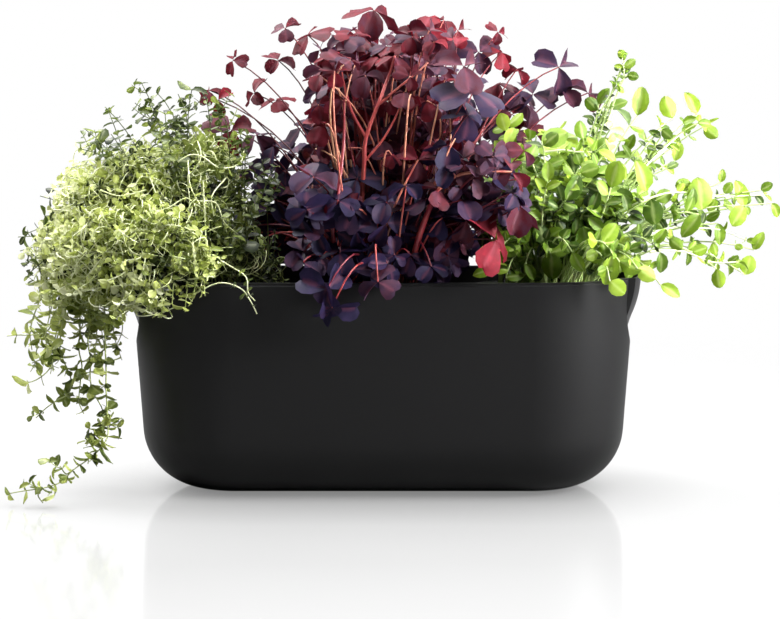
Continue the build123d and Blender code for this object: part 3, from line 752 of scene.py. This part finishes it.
def thyme_sprig(herb, points, leaf_length, first, step, tint, twigs=0.0):
    """Pairs of small leaves along a stalk from a share of its length, and on short twigs."""
    dice = herb.dice
    turn = dice.uniform(0, pi)
    total = sum((end - start).length for start, end in zip(points, points[1:]))
    walked, due = 0.0, first * total
    for start, end in zip(points, points[1:]):
        run = end - start
        along = run.normalized()
        while due <= walked + run.length:
            place = start + run * ((due - walked) / run.length)
            side = square_to(along, turn)
            size = leaf_length * dice.uniform(0.7, 1.15)
            size *= large_leaf if dice.random() < large_leaf_share else 1
            for way in (1, -1):
                out = side * way + along * dice.uniform(0.2, 0.8)
                herb.leaf(place, out, along + spread_direction(dice) * 0.5, size,
                          tint + dice.uniform(-0.22, 0.2), dice.randrange(3))
            if dice.random() < twigs and due < last_twig_share * total:
                reach = dice.uniform(8, 15) * mm
                heading = (side * dice.choice((1, -1)) + along * 0.9).normalized()
                twig = [place + heading * reach * s + Vector((0, 0, 0.25)) * reach * s * s
                        for s in (0, 0.33, 0.66, 1.0)]
                if herb.has_room(twig[-1], 1 * mm):
                    herb.stalk(twig, 0.35 * mm, 0.25 * mm, tint + 0.2)
                    thyme_sprig(herb, twig, leaf_length * 0.85, 0.3, step * 0.7, tint)
            turn += pi / 2
            due += step * dice.uniform(0.8, 1.2)
        walked += run.length


def wander(herb, place, heading, length, step=3.5 * mm):
    """A line that curls over the mound's skin."""
    dice = herb.dice
    axis = spread_direction(dice)
    curl = radians(dice.uniform(6, 17))
    line = [place]
    for _ in range(int(length / step)):
        level, out = dome_level(line[-1])
        heading = Quaternion(axis, curl) @ heading
        if level > turn_back:
            heading -= out * 0.5
        elif level < turn_out:
            heading += out * 0.25
        heading.normalize()
        axis = (axis + spread_direction(dice) * 0.25).normalized()
        follow = line[-1] + heading * step
        if not herb.has_room(follow, 2 * mm):
            break
        line.append(follow)
    return line


def grow_thyme():
    herb = Herb("thyme", 5)
    dice = herb.dice

    def sprig(line, thick, thin, stalk_tint, leaf_length, first, step, tint, twigs=0.0):
        """A stalk with its leaves. Thickness, leaf length and step are in mm."""
        herb.stalk(line, thick * mm, thin * mm, stalk_tint)
        thyme_sprig(herb, line, leaf_length * mm, first, step * mm, tint, twigs)

    for _ in range(thyme_shoots):
        tip = dome_place(dice, 0.8)
        if herb.has_room(tip, 4 * mm):
            sprig(herb.shoot(tip, 20 * mm), 0.7, 0.4, 0.1, 5, 0.5, 4, thyme_tint_with_painted_light(tip))
    # Leaves deep in the mound, tinted darker: painted shade
    for _ in range(thyme_inner_leaves):
        place = dome_place(dice, dice.uniform(0.3, 0.7))
        herb.leaf(place, spread_direction(dice), to_viewer + spread_direction(dice),
                  dice.uniform(7, 10) * mm, thyme_tint_with_painted_light(place) - 0.3, dice.randrange(3), 2 * mm)
    for _ in range(thyme_sprigs):
        place = dome_place(dice, dice.uniform(0.72, 0.97))
        if not herb.has_room(place, 3 * mm):
            continue
        out = dome_level(place)[1]
        heading = out * dice.uniform(0.0, 0.9) + spread_direction(dice) * 0.8 + Vector((0, 0, 0.25))
        line = wander(herb, place, heading.normalized(), dice.uniform(24, 62) * mm)
        if len(line) > 4:
            tint = thyme_tint_with_painted_light(line[len(line) // 2]) + dice.uniform(-0.1, 0.1)
            sprig(line, 0.4, 0.25, tint + 0.4, 5.2, 0.1, 5, tint - 0.05)
    for _ in range(thyme_hairs):
        place = dome_place(dice, dice.uniform(0.95, 1.04))
        if herb.has_room(place, 3 * mm):
            out = dome_level(place)[1]
            heading = (out * 0.3 + spread_direction(dice)).normalized()
            line = wander(herb, place, heading, dice.uniform(20, 65) * mm)
            if len(line) > 4:
                herb.stalk(line, 0.4 * mm, 0.28 * mm, thyme_tint_with_painted_light(line[0]) + dice.uniform(0.15, 0.6))
    for _ in range(thyme_curls):
        place = dome_place(dice, dice.uniform(1.0, 1.06))
        if place.y < 0 and herb.has_room(place, 3 * mm):
            heading = (Vector((0, -0.1, -0.3)) + spread_direction(dice)).normalized()
            line = wander(herb, place, heading, dice.uniform(45, 95) * mm)
            if len(line) > 6:
                sprig(line, 0.55, 0.35, dice.uniform(0.75, 1.0), 5.5, 0.6, 9,
                      thyme_tint_with_painted_light(line[-1]) + 0.1)
    for _ in range(thyme_hanging):
        across = dice.uniform(36, 122)
        line = [at_pixel(across, 290, -75 + across / 2)]
        for down in range(304, int(dice.uniform(320, 390)), 14):
            across = min(across + dice.uniform(-6, 6), 122)
            line.append(at_pixel(across, down, -75 + across / 2))
        sprig(smooth_line(line), 0.5, 0.3, 0.8, 8, 0.0, 8, dice.uniform(0.45, 0.85), 0.4)
    # Sprigs seen against the white, their leaves tinted dark: painted shade of leaves against the light
    for seen in thyme_tips_seen:
        sprig(herb.shoot(at_pixel(*seen), 16 * mm), 0.5, 0.3, 0.3, 7.5, 0.62, 7,
              dice.uniform(0.12, 0.36), 0.4)
    for seen in thyme_trails_seen:
        sprig(line_seen(seen), 0.6, 0.35, 0.6, 9.5, 0.05, 9, dice.uniform(0.35, 0.7), 0.5)
    for seen in thyme_loops_seen:
        line = line_seen(seen)
        sprig(line, 0.5, 0.4, 0.9, 6, 0.55, 8, thyme_tint_with_painted_light(line[-1]))
    for across, down in thyme_front_seen:
        tip = at_pixel(across, down, thyme_front_depth)
        sprig(herb.shoot(tip, 10 * mm), 0.6, 0.35, 0.6, 6, 0.4, 5, thyme_tint_with_painted_light(tip) + 0.2, 0.4)
    return herb


# Oregano: where the photograph shows each leaf, how deep it stands, its length, the angle at which
# it points, and its tint from deep green (0), painted shade, to pale lime (1), painted light, in the
# photograph's strong light, of which the leaf's own tint is a share
oregano_tint_share = 0.78
oregano_leaves_seen = [
    (555, 136, -40, 19, 20, 0.66), (503, 122, -30, 12, 110, 0.95), (510, 136, -34, 13, 70, 0.9),
    (500, 148, -30, 11, 130, 0.84), (533, 152, -44, 11, 60, 0.6),
    (548, 171, -46, 14, 90, 0.7), (573, 188, -46, 19, 60, 0.36), (614, 174, -46, 18, 80, 0.76),
    (644, 176, -44, 21, 100, 0.78), (640, 101, -6, 20, 80, 0.7), (669, 107, 0, 16, 110, 0.8),
    (693, 103, 12, 16, 115, 0.86), (705, 123, -8, 10, 0, 0.6), (711, 132, 8, 12, -40, 0.7),
    (655, 134, -20, 9, 150, 0.3), (667, 134, -20, 9, -40, 0.4), (678, 152, 4, 13, 70, 0.9),
    (673, 165, -14, 9, 30, 0.4), (684, 185, -20, 12, 180, 0.7), (701, 194, -24, 22, 95, 0.76),
    (742, 194, 4, 18, 100, 0.84), (739, 216, -12, 16, -120, 0.8), (760, 200, 14, 9, -40, 0.16),
    (767, 187, 2, 9, 30, 0.5), (776, 210, -8, 11, -60, 0.7), (758, 241, -6, 13, 70, 0.74),
    (748, 265, 8, 14, 75, 0.84), (718, 279, -18, 13, -85, 0.8), (736, 263, 10, 10, 20, 0.7),
    (671, 290, -66, 14, -25, 0.82), (662, 263, -62, 14, -80, 0.4), (691, 225, -36, 18, -130, 0.6),
    (720, 234, -10, 14, -80, 0.6), (713, 216, 2, 11, 30, 0.6), (653, 212, -46, 17, -80, 0.34),
    (636, 219, -46, 12, 0, 0.3), (638, 247, -62, 12, 20, 0.4), (609, 270, -74, 21, -100, 0.8),
    (631, 266, -70, 15, -20, 0.66), (618, 288, -78, 14, -40, 0.88), (647, 274, -70, 14, -30, 0.92),
    (586, 239, -44, 17, 100, 0.56), (551, 266, -44, 18, -90, 0.56), (490, 262, -46, 15, 200, 0.8),
    (482, 272, -48, 13, 200, 0.7), (488, 252, -46, 12, 150, 0.74),
    (496, 254, -44, 13, 90, 0.72), (500, 266, -46, 13, -30, 0.76), (542, 234, -46, 14, 100, 0.3),
    (595, 201, -46, 13, 70, 0.24), (604, 147, -10, 14, 80, 0.5), (604, 96, 20, 13, 60, 0.5),
    (592, 104, 24, 12, 140, 0.44), (618, 104, 10, 13, 30, 0.54), (626, 69, 6, 8, 30, 0.3),
    (622, 55, 8, 8, 120, 0.7), (633, 76, 2, 8, -10, 0.5), (515, 276, -46, 12, 10, 0.5),
    (530, 272, -46, 12, -60, 0.5), (573, 163, -30, 13, 100, 0.26), (541, 186, -46, 13, 120, 0.9),
    (568, 216, -46, 12, 30, 0.2), (520, 150, -30, 12, 40, 0.86), (514, 164, -36, 12, -60, 0.8),
    (590, 170, -40, 13, 20, 0.6), (582, 130, -10, 13, 100, 0.6), (630, 142, 10, 12, 60, 0.6),
    (624, 196, -40, 13, -20, 0.4), (560, 250, -46, 13, 20, 0.6), (578, 262, -60, 15, -60, 0.66),
    (596, 224, -48, 13, 140, 0.5), (610, 246, -64, 14, 40, 0.6), (524, 236, -46, 13, 60, 0.5),
    (512, 250, -46, 12, 20, 0.6), (534, 214, -46, 12, -40, 0.56), (526, 186, -42, 12, 100, 0.6),
    (660, 236, -50, 12, 50, 0.6), (676, 244, -40, 11, -40, 0.6), (700, 250, -20, 11, 20, 0.7),
    (728, 188, 0, 9, 60, 0.6), (722, 176, 8, 9, 80, 0.7), (664, 196, -24, 12, 30, 0.6),
]
# Its stalks, as points with their depths
oregano_stalks_seen = [
    [(614, 214, -40), (640, 202, -36), (667, 193, -30), (690, 193, -20), (712, 196, -8),
     (740, 196, 2), (764, 195, 6)],
    [(640, 172, -20), (658, 154, -14), (676, 138, -8), (696, 124, 0), (708, 124, 2)],
    [(630, 244, -50), (646, 237, -44), (669, 228, -34), (696, 228, -20), (721, 230, -8),
     (746, 240, 0)],
    [(650, 252, -54), (664, 250, -48), (686, 252, -30), (712, 262, -12), (738, 262, 4)],
    [(545, 152, -36), (562, 150, -34), (578, 152, -34), (592, 152, -34)],
    [(608, 120, 4), (616, 96, 6), (624, 76, 6), (622, 58, 6)],
]
# The shoots that fill it: how many, the least share of their reach, the shift and reach of their
# tips along X, their reach along Y and height over the soil in mm, their thickness in mm, the tint
# of their stalks and leaves (none: by place), and the share of each that bears leaves
# Tinted by place, the leaves carry painted light and shade; the second row's low inner shoots are dark,
# painted shade
oregano_fill = [
    (70, 0.05, 12, 56, 44, (20, 118), 0.8, 0.5, None, 0.6),
    (50, 0.02, 8, 50, 38, (15, 90), 0.7, 0.3, (0.06, 0.3), 0.7),
]


def oregano_pairs(herb, points, leaf_length, tint, pairs, reach):
    """Pairs of round leaves down a stalk from its tip, each pair square to the last."""
    dice = herb.dice
    turn = dice.uniform(0, pi)
    for i in range(pairs):
        spot = (1 - reach * i / pairs) * (len(points) - 1)
        low = min(int(spot), len(points) - 2)
        run = points[low + 1] - points[low]
        place = points[low] + run * (spot - low)
        along = run.normalized()
        side = square_to(along, turn)
        for way in (1, -1):
            out = side * way + along * dice.uniform(0.3, 0.8)
            upper = along * 0.6 + to_viewer * 0.7 + spread_direction(dice) * 0.3
            size = leaf_length * dice.uniform(0.75, 1.15)
            herb.leaf(place + out.normalized() * 0.6 * mm, out, upper, size,
                      tint + dice.uniform(-0.22, 0.18), dice.randrange(4), 2 * mm)
        turn += pi / 2


def oregano_tint_with_painted_light(place):
    """Painted light and shade: bright lime outside and at the right, deeper green low and inside."""
    out = abs(place.y) / (60 * mm) * 0.2
    return 0.3 + (place.x - 70 * mm) / (400 * mm) + (place.z - 160 * mm) / (500 * mm) + out


def grow_oregano():
    herb = Herb("oregano", 23)
    dice = herb.dice
    for across, down, depth, length, angle, bright_tint in oregano_leaves_seen:
        tint = round(bright_tint * oregano_tint_share, 2)
        along = Vector((cos(radians(angle)), dice.uniform(-0.35, 0.15), sin(radians(angle))))
        centre = at_pixel(across, down, depth)
        base = centre - along * length / 2 * mm
        points = herb.shoot(base, 10 * mm)
        # Its stalk follows its tint, paler in painted light, and the pairs below it are darker, painted
        # shade
        herb.stalk(points, 0.8 * mm, 0.45 * mm, 0.4 + tint * 0.5)
        herb.leaf(base, along, to_viewer + spread_direction(dice) * 0.4, length * mm, tint,
                  dice.randrange(4), 1 * mm)
        oregano_pairs(herb, points[:-1], 0.65 * length * mm, tint - 0.12, 3, 0.4)
    for count, least, shift, wide, deep, heights, thick, stalk_tint, tints, leafy in oregano_fill:
        for _ in range(count):
            right, back = in_round(dice, least)
            tip = herb.middle + over_soil(shift + right * wide, back * deep, dice.uniform(*heights))
            points = herb.shoot(tip, 12 * mm)
            herb.stalk(points, thick * mm, 0.45 * mm, stalk_tint)
            oregano_pairs(herb, points, dice.uniform(10, 14) * mm,
                          dice.uniform(*tints) if tints else oregano_tint_with_painted_light(tip), 4, leafy)
    for seen in oregano_stalks_seen:
        line = line_seen(seen)
        herb.stalk(line, 0.8 * mm, 0.4 * mm, 0.8)
        oregano_pairs(herb, line, 8 * mm, 0.6, 4, 0.8)
    return herb


for herb, shapes, skin, stalk in (
    (grow_thyme(), thyme_shapes, thyme_green, thyme_stalk),
    (grow_oxalis(), oxalis_shapes, oxalis_red, oxalis_stalk),
    (grow_oregano(), oregano_shapes, oregano_green, oregano_stalk),
):
    for piece in (scatter(herb.name + "_leaves", herb.leaves, shapes, skin),
                  stalks_piece(herb, stalk)):
        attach(piece, herb.name + "_pot")
        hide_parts(herb.name + "_plant")


def crumb_shape(name, seed):
    """A lump of unit length with a dented skin."""
    dice = random.Random(seed)
    shape = bpy.data.meshes.new(name)
    grid = bmesh.new()
    bmesh.ops.create_icosphere(grid, subdivisions=1, radius=0.5)
    for corner in grid.verts:
        corner.co *= dice.uniform(0.7, 1.1)
        corner.co.z *= 0.75
    grid.to_mesh(shape)
    grid.free()
    return bpy.data.objects.new(name, shape)


crumb_shapes = bpy.data.collections.new("crumbs")
for i in range(3):
    crumb_shapes.objects.link(crumb_shape(f"crumb_{i}", i))


def soil_crumbs(herb_name, seed, count, small, large):
    """Rows of crumbs half sunk in a pot's soil."""
    dice = random.Random(seed)
    rows = []
    for _ in range(count):
        right, back = in_round(dice, 0)
        size = dice.uniform(small, large) * mm
        place = Vector((pot_middle[herb_name] + right * soil_radius, back * soil_radius,
                        soil_level + size * dice.uniform(-0.1, 0.15)))
        rows.append((place, Quaternion((0, 0, 1), dice.uniform(0, 2 * pi)), size,
                     dice.random(), dice.randrange(3)))
    return rows


for i, (herb_name, side) in enumerate(pot_side.items()):
    for name, seed, count, large, material in (("crumbs", 40, 420, 5, soil),
                                               ("perlite", 50, 60, 3.5, perlite)):
        rows = soil_crumbs(herb_name, seed + i, count, 1.5, large)
        piece = scatter(f"{name}_{side}", rows, crumb_shapes, material)
        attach(piece, herb_name + "_pot")

# Floor: a white sheet, a little glossy, so that it keeps the planter's shadow and a faint reflection.
# It is darker close under the planter, a painted shade, its polish grows towards the planter, and
# it fades out well beyond the shadow. The camera sees it lifted to white.
floor_reach = 1.2
fade_start, fade_end = 0.45, 0.95
painted_shade_reach = 70 * mm
painted_shade_share = 0.62
polish_far, polish_near = 0.3, 0.42
polish_far_y, polish_near_y = -0.42, -0.22
floor_mesh = bpy.data.meshes.new("floor")
floor_mesh.from_pydata([(-floor_reach, -floor_reach, 0), (floor_reach, -floor_reach, 0),
                        (floor_reach, floor_reach, 0), (-floor_reach, floor_reach, 0)], [],
                       [(0, 1, 2, 3)])
floor = in_scene("floor", floor_mesh)
floor_white, tree, place = new_material("white_acrylic_sheet")
distance = add_node(tree, "ShaderNodeVectorMath", {0: place}, operation="LENGTH").outputs["Value"]
fade = add_node(tree, "ShaderNodeMapRange", {
    "Value": distance, "From Min": fade_start, "From Max": fade_end, "To Min": 1.0, "To Max": 0.0},
    interpolation_type="SMOOTHSTEP")
seen = add_node(tree, "ShaderNodeLightPath").outputs["Is Camera Ray"]
# A painted shade darkens the glow close under the planter
painted_contact_shade = add_node(tree, "ShaderNodeAmbientOcclusion", {"Distance": painted_shade_reach}).outputs["AO"]
eased = add_node(tree, "ShaderNodeMath", {0: painted_contact_shade, 1: painted_shade_share, 2: 1 - painted_shade_share},
                 operation="MULTIPLY_ADD")
shaded = add_node(tree, "ShaderNodeMath", {0: eased, 1: seen}, operation="MULTIPLY")
glow = add_node(tree, "ShaderNodeEmission", {"Color": linear("ffffff"), "Strength": shaded})
white = add_node(tree, "ShaderNodeMix", {"Factor": seen, 6: linear("868686"), 7: linear("6a6a6a")},
                 data_type="RGBA")
matt = add_node(tree, "ShaderNodeBsdfDiffuse", {"Color": white})
lit = add_node(tree, "ShaderNodeAddShader", {0: matt, 1: glow})
parts = add_node(tree, "ShaderNodeSeparateXYZ", {"Vector": place})
polish = add_node(tree, "ShaderNodeMapRange", {
    "Value": parts.outputs["Y"], "From Min": polish_far_y, "From Max": polish_near_y,
    "To Min": polish_far, "To Max": polish_near})
mirrored = add_node(tree, "ShaderNodeMath", {0: polish, 1: seen}, operation="MULTIPLY")
gloss = add_node(tree, "ShaderNodeBsdfAnisotropic", {"Color": linear("ffffff"), "Roughness": 0.1})
sheet = add_node(tree, "ShaderNodeMixShader", {0: mirrored, 1: lit, 2: gloss})
clear = add_node(tree, "ShaderNodeBsdfTransparent")
faded = add_node(tree, "ShaderNodeMixShader", {0: fade, 1: clear, 2: sheet})
add_node(tree, "ShaderNodeOutputMaterial", {"Surface": faded})
floor_mesh.materials.append(floor_white)


# Light: a soft box at the right in front, one with a grid at the right of the rim, a rim light at
# each side behind, and a broad one overhead
def soft_lamp(name, place, size, power, aim=(0.0, 0.0, 0.15), spread=180):
    lamp = bpy.data.lights.new(name, "AREA")
    lamp.shape = "SQUARE"
    lamp.size = size
    lamp.energy = power
    lamp.spread = radians(spread)
    lit = in_scene(name, lamp)
    lit.location = place
    lit.rotation_euler = (Vector(aim) - Vector(place)).to_track_quat("-Z", "Y").to_euler()


soft_lamp("front_box", (0.62, -0.42, 0.55), 0.3, 7.5)
soft_lamp("side_box", (0.8, -0.25, 0.4), 0.3, 1.1, (0.17, -0.04, 0.2), 40)
soft_lamp("right_box", (0.6, 0.6, 1.1), 0.6, 14)
soft_lamp("left_box", (-0.7, 0.4, 1.1), 0.6, 28)
soft_lamp("top_box", (-0.1, 0.0, 1.4), 0.9, 26)

# World: a white backdrop behind the planter and a dim room in front of it. The camera sees white.
world = bpy.data.worlds.new("white_backdrop")
bpy.context.scene.world = world
tree = cleared_tree(world)
way = add_node(tree, "ShaderNodeTexCoord").outputs["Generated"]
parts = add_node(tree, "ShaderNodeSeparateXYZ", {"Vector": way})
room = add_node(tree, "ShaderNodeMapRange", {
    "Value": parts.outputs["Y"], "From Min": -0.1, "From Max": 0.4, "To Min": 0.05, "To Max": 0.45},
    interpolation_type="SMOOTHSTEP")
seen = add_node(tree, "ShaderNodeLightPath").outputs["Is Camera Ray"]
strength = add_node(tree, "ShaderNodeMath", {0: room, 1: seen}, operation="MAXIMUM")
sky = add_node(tree, "ShaderNodeBackground", {"Color": linear("ffffff"), "Strength": strength})
add_node(tree, "ShaderNodeOutputWorld", {"Surface": sky})

bpy.context.scene.view_settings.view_transform = "Standard"
